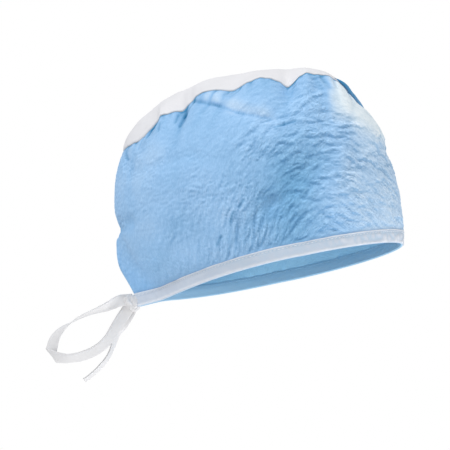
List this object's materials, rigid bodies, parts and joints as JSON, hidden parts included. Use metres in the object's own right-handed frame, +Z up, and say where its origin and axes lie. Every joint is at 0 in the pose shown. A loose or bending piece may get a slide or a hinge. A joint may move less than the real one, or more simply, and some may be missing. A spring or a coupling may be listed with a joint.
{
  "type": "tie-back surgical cap",
  "caption": "Disposable surgical cap: gathered crepe side panel, smooth crown panel, folded tape brim, and a knotted tape loop and tail behind the head.",
  "frame": {"origin": "centre of the head opening, between the front and the back of the brim", "axes": "+X to the forehead, +Y to the wearer's left, +Z up as worn; the brim is higher in front than behind"},
  "size_m": [0.2786, 0.1806, 0.2444],
  "materials": {
    "blue_crepe": "matt light blue nonwoven with fine level crepe wrinkles",
    "white_nonwoven": "smooth matt white nonwoven",
    "binding_tape": "thin white nonwoven tape, faintly blue over the panel, with a line of stitches",
    "tie_tape": "white nonwoven tape, folded flat"
  },
  "bodies": {
    "root": {"side_panel": "blue_crepe", "crown_panel": "white_nonwoven", "brim_binding": "binding_tape", "tie_knot": "tie_tape", "tie_loop": "tie_tape", "tie_tail": "tie_tape"}
  },
  "joints": []
}
